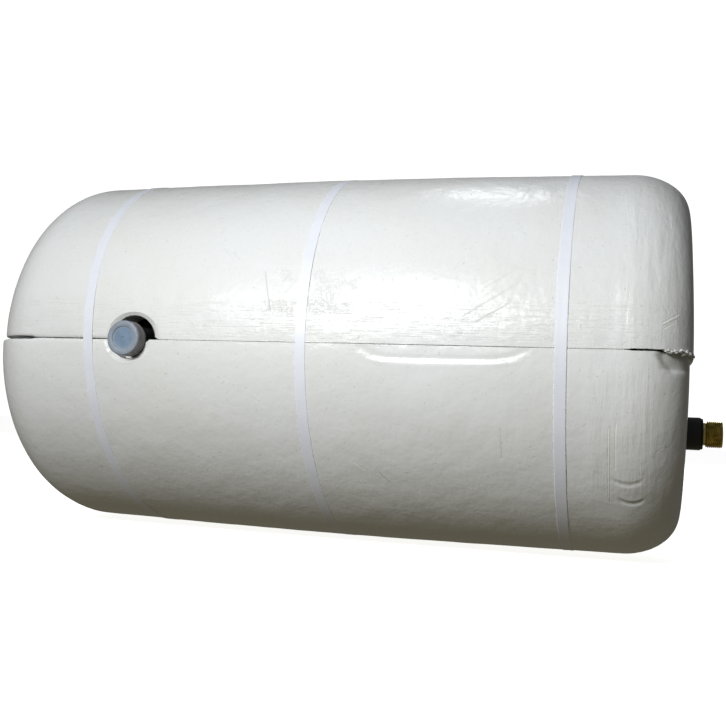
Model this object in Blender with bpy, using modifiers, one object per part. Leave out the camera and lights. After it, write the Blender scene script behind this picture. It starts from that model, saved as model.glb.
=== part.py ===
"""Insulated horizontal diaphragm expansion vessel, as an assembly of separate solids.

A steel pressure vessel with two dished heads holds a rubber diaphragm, clamped round its middle. Gas sits
left of the diaphragm, behind a sprung filling valve in a capped side port. Water enters on the right,
through a brass nipple low in the end. Two moulded foam shells, split along the horizontal mid plane, close
round the vessel, and three plastic bands with crimped seals hold them together.

Lengths are metres. The vessel lies along +X, the side port faces -Y, and +Z is up. The origin is the middle
of the bounding box, on the ground.
"""

import math

import bmesh
import bpy
from mathutils import Matrix, Vector

# ---- Driving dimensions -------------------------------------------------------------------------------

TOUCH_GAP = 0.0003          # between pieces that touch on the real vessel

BARREL_RADIUS = 0.150       # outside of the steel barrel
VESSEL_LENGTH = 0.622       # pole to pole, over both steel heads
STEEL_WALL = 0.0016
HEAD_CROWN_RATIO = 2.0      # crown radius over barrel radius, a torispherical head
HEAD_KNUCKLE_RATIO = 0.2    # knuckle radius over barrel radius
HEAD_FLANGE = 0.015         # straight part of a head, up to its weld
WELD_WIDTH = 0.007
WELD_HEIGHT = 0.0015

SWAGE_HEIGHT = 0.004        # outward swage round the barrel, which holds the diaphragm's rim
SWAGE_FLAT = 0.013
SWAGE_RAMP = 0.004
DIAPHRAGM_WALL = 0.0025
DIAPHRAGM_STANDOFF = 0.0015  # barrel to diaphragm
DIAPHRAGM_END_STANDOFF = 0.019  # water head to diaphragm, clear of the port guard
CLAMP_RING_WALL = 0.0022
CLAMP_RING_WIDTH = 0.020

SHELL_SIDE_WALL = 0.033     # foam over the barrel, at the shell's ends
SHELL_CROWN = 0.004         # how much thicker the foam is at mid length
SHELL_END_WALL = 0.0315     # foam over a head's pole
SHELL_FIT = 0.0025          # steel to foam
SEAM_GAP = 0.0012           # between the two foam shells
SHELL_SLIP = 0.0025         # each shell's shift along the vessel: the upper to the water end, the lower back
GAS_CORNER_LENGTH = 0.061   # the rounded corner of the gas end, along X and across
GAS_CORNER_DEPTH = 0.066
GAS_DOME_RISE = 0.011
WATER_CORNER_LENGTH = 0.060
WATER_CORNER_DEPTH = 0.043
WATER_DOME_RISE = 0.0063

STRAP_WIDTH = 0.010
STRAP_THICKNESS = 0.0008
GAS_STRAP_FROM_END = 0.138
MIDDLE_STRAP_OFFSET = 0.0088  # from mid length, towards the water end
WATER_STRAP_FROM_END = 0.109
GAS_STRAP_SLANT = 0.0696    # lean of each band, as X run over height
MIDDLE_STRAP_SLANT = 0.0232
WATER_STRAP_SLANT = 0.0
STRAP_SEAL_LENGTH = 0.026
STRAP_SEAL_WALL = 0.0006
STRAP_SEAL_ANGLE = math.radians(38)  # above the horizontal, on the far side

GAS_PORT_FROM_END = 0.1835
GAS_NIPPLE_STANDOUT = 0.0107  # beyond the foam
PIPE_THREAD_RADIUS = 0.0132   # G 3/4 thread, over the crests
GAS_NIPPLE_BORE_RADIUS = 0.0102
GAS_NIPPLE_ROOT = 0.004       # how far the nipple reaches inside the barrel's outer face
UPPER_HOLE_MARGIN = 0.0088    # how much wider than the nipple the foam's half holes are
LOWER_HOLE_MARGIN = 0.0053
HOLE_OFFSET = 0.0015          # the holes' centre, from the port's axis towards the gas end, before the slip
HOLE_CHAMFER_WIDTH = 0.006
HOLE_CHAMFER_DEPTH = 0.004

CARRIER_HEX_DEPTH = 0.030     # hexagon's outer face, below the nipple's face
CARRIER_HEX_HEIGHT = 0.005
CARRIER_HEX_CLEARANCE = 0.0007  # its corners to the nipple's bore
CARRIER_BODY_LENGTH = 0.010
CARRIER_GROOVE_WIDTH = 0.0028
CARRIER_GROOVE_DEPTH = 0.0019
STEM_RADIUS = 0.00385         # tyre-valve stem, 7.7 mm over its thread
STEM_DEPTH = 0.0135           # stem's mouth, below the nipple's face
STEM_SHOULDER = 0.0018        # wider than the stem
STEM_SHOULDER_HEIGHT = 0.0015
STEM_BORE_RADIUS = 0.0029
STEM_GAS_WAY_RADIUS = 0.0016
CORE_DEPTH = 0.003            # core's outer face, below the stem's mouth
CORE_LENGTH = 0.018
CORE_PLATE = 0.0018           # end walls of the core, which guide the pin
CORE_WALL = 0.0005
PIN_RADIUS = 0.0006
PIN_COLLAR_RADIUS = 0.0018
PIN_COLLAR_HEIGHT = 0.001
PIN_TRAVEL = 0.0015
SEAT_SEAL_HEIGHT = 0.0012
SPRING_WIRE_RADIUS = 0.0002
SPRING_TURNS = 5
DUST_CAP_WALL = 0.00115
DUST_CAP_SKIRT = 0.009        # cap's overlap on the stem
DUST_CAP_TOP = 0.0014
DUST_CAP_SEAL_HEIGHT = 0.001
PROTECTIVE_CAP_WALL = 0.00275
PROTECTIVE_CAP_TOP = 0.0016
PROTECTIVE_CAP_SKIRT = 0.0105
PROTECTIVE_CAP_RIM = 0.0022   # width of the raised rim on the cap's face
PROTECTIVE_CAP_DISH = 0.0006  # depth of the face inside the rim

WATER_PORT_DROP = 0.066       # below the vessel's axis
SOCKET_RADIUS = 0.01585
SOCKET_STANDOUT = 0.0114      # beyond the foam's end
SOCKET_BORE_RADIUS = 0.0121
SOCKET_ROOT = 0.002           # how far the socket reaches inside the head
NIPPLE_TAIL_LENGTH = 0.018    # brass nipple inside the socket
NIPPLE_NECK_RADIUS = 0.01075
NIPPLE_NECK_LENGTH = 0.0041
NIPPLE_THREAD_LENGTH = 0.0149
NIPPLE_BORE_RADIUS = 0.0085
THREAD_CHAMFER = 0.0009
WASHER_RADIUS = 0.0148
WASHER_THICKNESS = 0.0012
GUARD_RADIUS = 0.027
GUARD_SHOULDER_RADIUS = 0.019
GUARD_RISE = 0.012
GUARD_CROWN = 0.0035          # how far the guard's middle stands over its shoulder
GUARD_WALL = 0.0012
GUARD_SEAT_GAP = 0.0014      # rim to the true dish, clear of the head's facets
GUARD_HOLE_RADIUS = 0.003
GUARD_HOLE_COUNT = 5

OUTER_STEPS = 48            # facets round the foam and the bands
INNER_STEPS = 36            # facets round the steel vessel
FITTING_STEPS = 32
VALVE_STEPS = 16

# ---- Sizes worked out from them -----------------------------------------------------------------------

HALF_LENGTH = VESSEL_LENGTH / 2 + SHELL_END_WALL
SHELL_END_RADIUS = BARREL_RADIUS + SHELL_SIDE_WALL
HEAD_CROWN_RADIUS = BARREL_RADIUS * HEAD_CROWN_RATIO
HEAD_KNUCKLE_RADIUS = BARREL_RADIUS * HEAD_KNUCKLE_RATIO


def head_depth(inset=0.0):
    """Height of a head's dish over its flange, on a surface that lies inset inside the outer one."""
    crown, knuckle = HEAD_CROWN_RADIUS - inset, HEAD_KNUCKLE_RADIUS - inset
    return crown - math.sqrt((crown - knuckle) ** 2 - (BARREL_RADIUS - inset - knuckle) ** 2)


BARREL_HALF_LENGTH = VESSEL_LENGTH / 2 - head_depth() - HEAD_FLANGE
GAS_STRAP_X = -HALF_LENGTH + GAS_STRAP_FROM_END
WATER_STRAP_X = HALF_LENGTH - WATER_STRAP_FROM_END
GAS_PORT_X = -HALF_LENGTH + GAS_PORT_FROM_END


def crown_factor(x):
    """Swell of the foam at x: SHELL_CROWN at mid length, none at the ends."""
    return 1 + SHELL_CROWN / SHELL_END_RADIUS * (1 - (x / HALF_LENGTH) ** 2)


def foam_radius(x):
    """Radius of the foam between its rounded corners."""
    return SHELL_END_RADIUS * crown_factor(x)


GAS_FACE = foam_radius(GAS_PORT_X) + GAS_NIPPLE_STANDOUT   # nipple's end, from the vessel's axis
STRAP_OUTER = foam_radius(MIDDLE_STRAP_OFFSET) + TOUCH_GAP + STRAP_THICKNESS
FACET_SHARE = math.cos(math.pi / OUTER_STEPS)              # a facet's middle over its corners
LOWEST = STRAP_OUTER * FACET_SHARE
NIPPLE_OVERALL = SOCKET_STANDOUT + TOUCH_GAP + NIPPLE_NECK_LENGTH + NIPPLE_THREAD_LENGTH
PROTECTIVE_CAP_FACE = GAS_FACE + 2 * TOUCH_GAP + PROTECTIVE_CAP_TOP

# The vessel's axis, seen from the origin at the middle of the bounding box's underside.
AXIS_PLACE = Vector(((SHELL_SLIP - NIPPLE_OVERALL) / 2, (PROTECTIVE_CAP_FACE - LOWEST) / 2, LOWEST))

# ---- Scene and materials ------------------------------------------------------------------------------

for old in list(bpy.data.objects):
    bpy.data.objects.remove(old, do_unlink=True)

ASSEMBLY = bpy.data.collections.new("expansion_vessel")
CUTTERS = bpy.data.collections.new("cutters")
for group in (ASSEMBLY, CUTTERS):
    bpy.context.scene.collection.children.link(group)


def finish(name, colour, roughness, metallic=0.0):
    """A plain Principled material."""
    made = bpy.data.materials.new(name)
    made.use_nodes = True
    shader = made.node_tree.nodes["Principled BSDF"]
    shader.inputs["Base Color"].default_value = (*colour, 1.0)
    shader.inputs["Roughness"].default_value = roughness
    shader.inputs["Metallic"].default_value = metallic
    made.diffuse_color = (*colour, 1.0)
    return made


FOAM = finish("insulation_foam", (0.80, 0.80, 0.76), 0.45)
BAND = finish("white_band", (0.86, 0.87, 0.92), 0.40)
ZINC = finish("zinc_plated_steel", (0.62, 0.63, 0.64), 0.35, 1.0)
BLACK_STEEL = finish("black_painted_steel", (0.018, 0.018, 0.02), 0.40)
WELD = finish("weld_metal", (0.20, 0.19, 0.18), 0.55, 1.0)
RUBBER = finish("black_rubber", (0.02, 0.02, 0.02), 0.75)
BRASS = finish("brass", (0.55, 0.42, 0.14), 0.30, 1.0)
SPRING_STEEL = finish("spring_steel", (0.55, 0.56, 0.58), 0.30, 1.0)
CAP_PLASTIC = finish("cap_plastic", (0.42, 0.50, 0.62), 0.45)
BLACK_PLASTIC = finish("black_plastic", (0.03, 0.03, 0.03), 0.45)

# ---- Frames -------------------------------------------------------------------------------------------


def frame(name, place, parent=None, turn=None):
    """An empty that pieces are placed in."""
    made = bpy.data.objects.new(name, None)
    ASSEMBLY.objects.link(made)
    made.parent = parent
    made.location = place
    if turn is not None:
        made.rotation_euler = turn.to_euler()
    return made


Z_TO_X = Matrix.Rotation(math.radians(90), 3, "Y")
Z_TO_MINUS_Y = Matrix.Rotation(math.radians(90), 3, "X")

AXIS = frame("vessel_axis", AXIS_PLACE, turn=Z_TO_X)  # its local Z runs along the vessel
GAS_PORT = frame(
    "gas_port_face", AXIS_PLACE + Vector((GAS_PORT_X, -GAS_FACE, 0)), turn=Z_TO_MINUS_Y
)
WATER_PORT = frame(
    "water_port_axis", AXIS_PLACE + Vector((HALF_LENGTH, 0, -WATER_PORT_DROP)), turn=Z_TO_X
)
HEAD_INNER_CROWN = HEAD_CROWN_RADIUS - STEEL_WALL
GUARD_TURN = math.asin(WATER_PORT_DROP / HEAD_INNER_CROWN)
WATER_HEAD_CENTRE = frame(  # centre of the crown, turned so that local Z points at the port
    "water_head_centre", AXIS_PLACE + Vector((VESSEL_LENGTH / 2 - HEAD_CROWN_RADIUS, 0, 0)),
    turn=Matrix.Rotation(math.radians(90) + GUARD_TURN, 3, "Y"),
)

# ---- Modelling tools ----------------------------------------------------------------------------------


def place(name, mesh, material, parent, cutter=False):
    """An object for the mesh, in the parent's frame. A cutter only shapes other pieces."""
    made = bpy.data.objects.new(name, mesh)
    (CUTTERS if cutter else ASSEMBLY).objects.link(made)
    made.parent = parent
    if material:
        mesh.materials.append(material)
    if cutter:
        made.hide_render = True
        made.display_type = "WIRE"
    return made


def turned(name, profile, steps, material, parent, cutter=False):
    """A turned piece round the parent's Z. The profile's points are (radius, height).

    A profile with a point off the axis at both ends is closed into a ring. Facets, and not corners, face
    along the parent's X and Y.
    """
    ring = profile[0][0] > 0 or profile[-1][0] > 0
    pairs = zip(profile, profile[1:] + profile[:1])
    if sum(a[0] * b[1] - b[0] * a[1] for a, b in pairs) > 0:
        profile = profile[::-1]  # the outer side has to run downwards
    count = len(profile)
    edges = [(i, (i + 1) % count) for i in range(count if ring else count - 1)]
    mesh = bpy.data.meshes.new(name)
    mesh.from_pydata([(radius, 0, height) for radius, height in profile], edges, [])
    made = place(name, mesh, material, parent, cutter)
    made.rotation_euler = (0, 0, math.pi / steps)
    screw = made.modifiers.new("turn", "SCREW")
    screw.steps = screw.render_steps = steps
    screw.use_merge_vertices = True
    screw.merge_threshold = 0.000001
    screw.use_smooth_shade = False
    return made


def block(name, low, high, parent=None):
    """A box cutter between two corners."""
    mesh = bpy.data.meshes.new(name)
    shape = bmesh.new()
    bmesh.ops.create_cube(shape, size=1)
    size, middle = Vector(high) - Vector(low), (Vector(low) + Vector(high)) / 2
    bmesh.ops.scale(shape, vec=size, verts=shape.verts)
    bmesh.ops.translate(shape, vec=middle, verts=shape.verts)
    shape.to_mesh(mesh)
    shape.free()
    return place(name, mesh, None, parent, cutter=True)


def shaped(piece, tool, operation="DIFFERENCE"):
    """Cuts the piece with the tool, or keeps or joins what the operation says."""
    boolean = piece.modifiers.new(f"{operation.lower()} {tool.name}", "BOOLEAN")
    boolean.operation = operation
    boolean.object = tool
    return piece


def settled(piece):
    """Replaces the piece's mesh with its evaluated one, so that its points can be moved."""
    bpy.context.view_layer.update()
    graph = bpy.context.evaluated_depsgraph_get()
    mesh = bpy.data.meshes.new_from_object(piece.evaluated_get(graph))
    piece.modifiers.clear()
    piece.data = mesh
    return piece


def arc(centre, radius, start, end, count):
    """Points (radius, height) on an arc of count stretches, with angles from the radial direction."""
    steps = [start + (end - start) * i / count for i in range(count + 1)]
    return [(centre[0] + radius * math.cos(a), centre[1] + radius * math.sin(a)) for a in steps]


# ---- Steel vessel -------------------------------------------------------------------------------------


def head_outline(inset, standoff=0.0, crown_count=3, knuckle_count=3):
    """Half outline of a dished head from its pole to its weld plane, as (radius, X), for the +X end.

    inset moves the surface inwards. standoff moves the dish back along X.
    """
    crown, knuckle = HEAD_CROWN_RADIUS - inset, HEAD_KNUCKLE_RADIUS - inset
    knuckle_centre = (BARREL_RADIUS - inset - knuckle, BARREL_HALF_LENGTH + HEAD_FLANGE - standoff)
    pole = knuckle_centre[1] + head_depth(inset)
    joint = math.acos(knuckle_centre[0] / (crown - knuckle))  # where crown and knuckle meet
    dish = arc((0, pole - crown), crown, math.pi / 2, joint, crown_count)
    dish[0] = (0, pole)
    return dish + arc(knuckle_centre, knuckle, joint, 0, knuckle_count)[1:]


def mirrored(outline):
    """The same outline at the -X end."""
    return [(radius, -x) for radius, x in outline]


def head_x_at(radius, inset=0.0):
    """X of the water head's crown at a distance from the axis."""
    crown = HEAD_CROWN_RADIUS - inset
    return VESSEL_LENGTH / 2 - inset - crown + math.sqrt(crown**2 - radius**2)


def make_head(name, side):
    """A dished head with its straight flange. side is 1 for the water end."""
    weld_x = BARREL_HALF_LENGTH + TOUCH_GAP / 2
    outside = head_outline(0) + [(BARREL_RADIUS, weld_x)]
    inside = head_outline(STEEL_WALL) + [(BARREL_RADIUS - STEEL_WALL, weld_x)]
    profile = outside + inside[::-1]
    if side < 0:
        profile = mirrored(profile)
    return turned(name, profile, INNER_STEPS, BLACK_STEEL, AXIS)


def make_weld(name, side):
    """The raised bead round the joint of a head and the barrel."""
    root = BARREL_RADIUS + TOUCH_GAP
    half, x = WELD_WIDTH / 2, side * BARREL_HALF_LENGTH
    profile = [
        (root, x + half), (root + WELD_HEIGHT * 0.7, x + half * 0.6), (root + WELD_HEIGHT, x),
        (root + WELD_HEIGHT * 0.7, x - half * 0.6), (root, x - half),
    ]
    return turned(name, profile, INNER_STEPS, WELD, AXIS)


def swaged(radius, end, flat):
    """A barrel surface with its swage at mid length, as (radius, X)."""
    side = [(radius, end), (radius, flat / 2 + SWAGE_RAMP), (radius + SWAGE_HEIGHT, flat / 2)]
    return side + [(r, -x) for r, x in side[::-1]]


def make_barrel():
    """The rolled barrel, with its swage and the hole for the gas nipple."""
    end = BARREL_HALF_LENGTH - TOUCH_GAP / 2
    outside = swaged(BARREL_RADIUS, end, SWAGE_FLAT)
    inside = swaged(BARREL_RADIUS - STEEL_WALL, end, SWAGE_FLAT - STEEL_WALL)
    barrel = turned("vessel_barrel", outside + inside[::-1], INNER_STEPS, BLACK_STEEL, AXIS)
    return shaped(barrel, port_drill("gas_nipple_drill", PIPE_THREAD_RADIUS + TOUCH_GAP, GAS_PORT, GAS_FACE))


def port_drill(name, radius, parent, depth):
    """A round cutter down a port's axis, to the depth and a little past the port's frame."""
    past = 0.05
    return turned(
        name, [(0, past), (radius, past), (radius, -depth), (0, -depth)], FITTING_STEPS, None, parent, True
    )


def make_steel_vessel():
    make_barrel()
    make_head("gas_end_head", -1)
    water_head = make_head("water_end_head", 1)
    shaped(water_head, port_drill("socket_drill", SOCKET_RADIUS + TOUCH_GAP, WATER_PORT, VESSEL_LENGTH / 4))
    make_weld("gas_end_weld", -1)
    make_weld("water_end_weld", 1)


# ---- Diaphragm ----------------------------------------------------------------------------------------


def make_diaphragm():
    """A rubber cup: its thick rim sits in the barrel's swage, and gas presses it towards the water end."""
    inner_wall = BARREL_RADIUS - STEEL_WALL
    outside_inset = STEEL_WALL + DIAPHRAGM_STANDOFF
    outside = head_outline(outside_inset, DIAPHRAGM_END_STANDOFF)
    inside = head_outline(outside_inset + DIAPHRAGM_WALL, DIAPHRAGM_END_STANDOFF)
    rim_half = SWAGE_FLAT / 2 - STEEL_WALL / 2 - TOUCH_GAP
    rim_outer = inner_wall + SWAGE_HEIGHT - TOUCH_GAP
    rim = [(outside[-1][0], rim_half + SWAGE_RAMP / 2), (rim_outer, rim_half), (rim_outer, -rim_half)]
    rim += [(inside[-1][0], -rim_half)]
    return turned("diaphragm", outside + rim + inside[::-1], INNER_STEPS, RUBBER, AXIS)


def make_clamp_ring():
    """A steel hoop, expanded inside the diaphragm's rim to hold it in the swage."""
    outer = BARREL_RADIUS - STEEL_WALL - DIAPHRAGM_STANDOFF - DIAPHRAGM_WALL - TOUCH_GAP
    inner, half = outer - CLAMP_RING_WALL, CLAMP_RING_WIDTH / 2
    profile = [(outer, half), (outer, -half), (inner, -half), (inner, half)]
    return turned("diaphragm_clamp_ring", profile, INNER_STEPS, ZINC, AXIS)


# ---- Foam shells --------------------------------------------------------------------------------------


def foam_corner(dome_rise, length, depth, count=6):
    """Outline of one foam end from its pole to its rounded corner's end, as (radius, inset from the end)."""
    face = SHELL_END_RADIUS - depth
    dome = [(face * i / 2, dome_rise * (i / 2) ** 2) for i in range(2)]
    angles = [math.pi / 2 * i / count for i in range(count + 1)]
    return dome + [
        (face + depth * math.sin(a), dome_rise + length * (1 - math.cos(a))) for a in angles
    ]


def foam_outline(stretches=6):
    """Whole outline of the foam from the water pole to the gas pole, as (radius, X)."""
    water = foam_corner(WATER_DOME_RISE, WATER_CORNER_LENGTH, WATER_CORNER_DEPTH)
    gas = foam_corner(GAS_DOME_RISE, GAS_CORNER_LENGTH, GAS_CORNER_DEPTH)
    points = [(radius, HALF_LENGTH - inset) for radius, inset in water]
    last, first = HALF_LENGTH - water[-1][1], -HALF_LENGTH + gas[-1][1]
    points += [(SHELL_END_RADIUS, last + (first - last) * i / stretches) for i in range(1, stretches)]
    points += [(radius, -HALF_LENGTH + inset) for radius, inset in gas[::-1]]
    return [(radius * crown_factor(x), x) for radius, x in points]


def cavity_outline():
    """Space for the steel vessel inside the foam, swage and welds included."""
    half = head_outline(-SHELL_FIT)
    flat, ramp = SWAGE_FLAT / 2 + SHELL_FIT, SWAGE_FLAT / 2 + SWAGE_RAMP + SHELL_FIT
    radius = BARREL_RADIUS + SHELL_FIT
    middle = [(radius, ramp), (radius + SWAGE_HEIGHT, flat), (radius + SWAGE_HEIGHT, -flat), (radius, -ramp)]
    return half + middle + mirrored(half)[::-1]


def recess_cutter(name, radius, slip):
    """The half hole in one shell round the gas port, with its wide chamfer."""
    past, depth = 0.012, GAS_FACE - BARREL_RADIUS
    surface = -GAS_NIPPLE_STANDOUT
    slope = HOLE_CHAMFER_WIDTH / HOLE_CHAMFER_DEPTH
    profile = [
        (0, surface + past), (radius + HOLE_CHAMFER_WIDTH + slope * past, surface + past),
        (radius, surface - HOLE_CHAMFER_DEPTH), (radius, -depth), (0, -depth),
    ]
    recess = turned(name, profile, FITTING_STEPS, None, GAS_PORT, True)
    recess.location = (slip - HOLE_OFFSET, 0, 0)
    return recess


def make_insulation():
    """Two foam half shells, split along the horizontal mid plane and slipped a little past each other."""
    cavity = turned("vessel_space", cavity_outline(), INNER_STEPS, None, AXIS, True)
    socket_hole = port_drill("socket_hole", SOCKET_RADIUS + 2 * TOUCH_GAP, WATER_PORT, VESSEL_LENGTH / 4)
    reach = 2 * HALF_LENGTH + BARREL_RADIUS
    for name, side, margin in (
        ("upper_insulation_shell", 1, UPPER_HOLE_MARGIN), ("lower_insulation_shell", -1, LOWER_HOLE_MARGIN)
    ):
        slip = side * SHELL_SLIP
        shell = turned(name, foam_outline(), OUTER_STEPS, FOAM, AXIS)
        shell.location = (0, 0, slip)
        edges = sorted((side * SEAM_GAP / 2, -side * reach))
        other_half = block(
            f"{name}_split", AXIS_PLACE + Vector((-reach, -reach, edges[0])),
            AXIS_PLACE + Vector((reach, reach, edges[1])),
        )
        shaped(shell, cavity)
        shaped(shell, other_half)
        shaped(shell, recess_cutter(f"{name}_recess", PIPE_THREAD_RADIUS + margin, slip))
        if side < 0:
            shaped(shell, socket_hole)


# ---- Bands and their seals ----------------------------------------------------------------------------


def laid_on_foam(ring, centre_x, slant):
    """Leans a ring made round the band's place, and lets it follow the foam's swell.

    In the axis frame Z is the vessel's length, and the height above the axis is -X.
    """
    turn = ring.matrix_local.copy()
    for vertex in ring.data.vertices:
        point = turn @ vertex.co
        height, side, along = -point.x, point.y, point.z
        leaned = along - slant * height
        old = math.hypot(height, side)
        share = 1 + (foam_radius(leaned) - foam_radius(centre_x)) / old
        vertex.co = turn.inverted() @ Vector((-height * share, side * share, leaned))
    return ring


def make_strap(name, centre_x, slant):
    """A flat plastic band round both foam shells."""
    inner = foam_radius(centre_x) + TOUCH_GAP
    outer, half = inner + STRAP_THICKNESS, STRAP_WIDTH / 2
    profile = [
        (outer, centre_x + half), (outer, centre_x - half), (inner, centre_x - half), (inner, centre_x + half)
    ]
    band = settled(turned(name, profile, OUTER_STEPS, BAND, AXIS))
    return laid_on_foam(band, centre_x, slant)


def make_strap_seal(name, centre_x, slant):
    """A crimped metal channel over the band, on the far side, its lips beside the band."""
    foam = foam_radius(centre_x) + TOUCH_GAP
    under = foam + STRAP_THICKNESS + TOUCH_GAP
    top, inside = under + STRAP_SEAL_WALL, STRAP_WIDTH / 2 + TOUCH_GAP
    outside = inside + STRAP_SEAL_WALL
    channel = [
        (top, outside), (top, -outside), (foam, -outside), (foam, -inside),
        (under, -inside), (under, inside), (foam, inside), (foam, outside),
    ]
    profile = [(radius, centre_x + across) for radius, across in channel]
    seal = laid_on_foam(settled(turned(name, profile, OUTER_STEPS, ZINC, AXIS)), centre_x, slant)
    height, far = top * math.sin(STRAP_SEAL_ANGLE), top * math.cos(STRAP_SEAL_ANGLE)
    half, reach = STRAP_SEAL_LENGTH / 2, 2 * STRAP_WIDTH
    window = block(f"{name}_window", (-reach, -reach, -half), (reach, reach, half))
    window.location = AXIS_PLACE + Vector((centre_x - slant * height, far, height))
    window.rotation_euler = (STRAP_SEAL_ANGLE, 0, 0)
    return shaped(seal, window, "INTERSECT")


def make_bands():
    bands = (
        ("gas_end_strap", GAS_STRAP_X, GAS_STRAP_SLANT),
        ("middle_strap", MIDDLE_STRAP_OFFSET, MIDDLE_STRAP_SLANT),
        ("water_end_strap", WATER_STRAP_X, WATER_STRAP_SLANT),
    )
    for name, centre_x, slant in bands:
        make_strap(name, centre_x, slant)
        make_strap_seal(f"{name}_seal", centre_x, slant)


# ---- Gas port and its filling valve -------------------------------------------------------------------
# Heights are measured outwards from the nipple's end face, so all of the valve lies below 0.

CARRIER_INNER = -CARRIER_HEX_DEPTH - CARRIER_HEX_HEIGHT - CARRIER_BODY_LENGTH
STEM_INNER = CARRIER_INNER - TOUCH_GAP - STEM_SHOULDER_HEIGHT
CORE_OUTER = -STEM_DEPTH - CORE_DEPTH
CORE_INNER = CORE_OUTER - CORE_LENGTH
SEAL_INNER = CORE_INNER - TOUCH_GAP - SEAT_SEAL_HEIGHT
PIN_HOLE_RADIUS = PIN_RADIUS + TOUCH_GAP
CORE_RADIUS = STEM_BORE_RADIUS - TOUCH_GAP


def make_gas_nipple():
    """A steel pipe stub, welded into the barrel, with a male thread for the protective cap."""
    root = -(GAS_FACE - BARREL_RADIUS + GAS_NIPPLE_ROOT)
    profile = [
        (PIPE_THREAD_RADIUS - THREAD_CHAMFER, 0), (PIPE_THREAD_RADIUS, -THREAD_CHAMFER),
        (PIPE_THREAD_RADIUS, root), (GAS_NIPPLE_BORE_RADIUS, root), (GAS_NIPPLE_BORE_RADIUS, 0),
    ]
    return turned("gas_port_nipple", profile, FITTING_STEPS, BLACK_STEEL, GAS_PORT)


def make_valve_carrier():
    """A brass plug with a hexagon, screwed into the nipple to carry the valve stem."""
    radius, bore = GAS_NIPPLE_BORE_RADIUS - TOUCH_GAP, STEM_RADIUS + TOUCH_GAP
    shoulder = -CARRIER_HEX_DEPTH - CARRIER_HEX_HEIGHT
    groove = (shoulder + CARRIER_INNER) / 2
    half, floor = CARRIER_GROOVE_WIDTH / 2, radius - CARRIER_GROOVE_DEPTH
    profile = [
        (bore, shoulder), (radius, shoulder), (radius, groove + half), (floor, groove + half),
        (floor, groove - half), (radius, groove - half), (radius, CARRIER_INNER), (bore, CARRIER_INNER),
    ]
    carrier = turned("valve_carrier", profile, FITTING_STEPS, BRASS, GAS_PORT)
    corner = GAS_NIPPLE_BORE_RADIUS - CARRIER_HEX_CLEARANCE
    overlap = 0.001
    hexagon = turned(
        "carrier_hexagon",
        [(bore, -CARRIER_HEX_DEPTH), (corner, -CARRIER_HEX_DEPTH), (corner, shoulder - overlap),
         (bore, shoulder - overlap)],
        6, None, GAS_PORT, True,
    )
    shaped(carrier, hexagon, "UNION")
    drill = turned(
        "carrier_bore",
        [(0, 0), (bore, 0), (bore, CARRIER_INNER - overlap), (0, CARRIER_INNER - overlap)],
        VALVE_STEPS, None, GAS_PORT, True,
    )
    shaped(carrier, drill)
    section = min(half, CARRIER_GROOVE_DEPTH / 2) - TOUCH_GAP / 2
    ring_radius = floor + TOUCH_GAP + section
    turned("carrier_o_ring", arc((ring_radius, groove), section, 0, math.tau * 7 / 8, 7),
           FITTING_STEPS, RUBBER, GAS_PORT)


def make_valve_stem():
    """The threaded brass stem, with a shoulder behind the carrier and a bore for the valve core."""
    shoulder, seat = STEM_RADIUS + STEM_SHOULDER, SEAL_INNER - PIN_TRAVEL - 2 * TOUCH_GAP - PIN_HOLE_RADIUS
    profile = [
        (STEM_RADIUS - TOUCH_GAP, -STEM_DEPTH), (STEM_RADIUS, -STEM_DEPTH - TOUCH_GAP),
        (STEM_RADIUS, CARRIER_INNER - TOUCH_GAP), (shoulder, CARRIER_INNER - TOUCH_GAP),
        (shoulder, STEM_INNER), (STEM_GAS_WAY_RADIUS, STEM_INNER), (STEM_GAS_WAY_RADIUS, seat),
        (STEM_BORE_RADIUS, seat), (STEM_BORE_RADIUS, -STEM_DEPTH),
    ]
    return turned("valve_stem", profile, VALVE_STEPS, BRASS, GAS_PORT)


def make_valve_core():
    """The core's barrel: two end walls that guide the pin, with the spring's chamber between them."""
    chamber = CORE_RADIUS - CORE_WALL
    profile = [
        (CORE_RADIUS, CORE_OUTER), (CORE_RADIUS, CORE_INNER), (PIN_HOLE_RADIUS, CORE_INNER),
        (PIN_HOLE_RADIUS, CORE_INNER + CORE_PLATE), (chamber, CORE_INNER + CORE_PLATE),
        (chamber, CORE_OUTER - CORE_PLATE), (PIN_HOLE_RADIUS, CORE_OUTER - CORE_PLATE),
        (PIN_HOLE_RADIUS, CORE_OUTER),
    ]
    return turned("valve_core", profile, VALVE_STEPS, BRASS, GAS_PORT)


COLLAR_TOP = CORE_OUTER - CORE_PLATE - TOUCH_GAP
COLLAR_BOTTOM = COLLAR_TOP - PIN_COLLAR_HEIGHT


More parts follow.
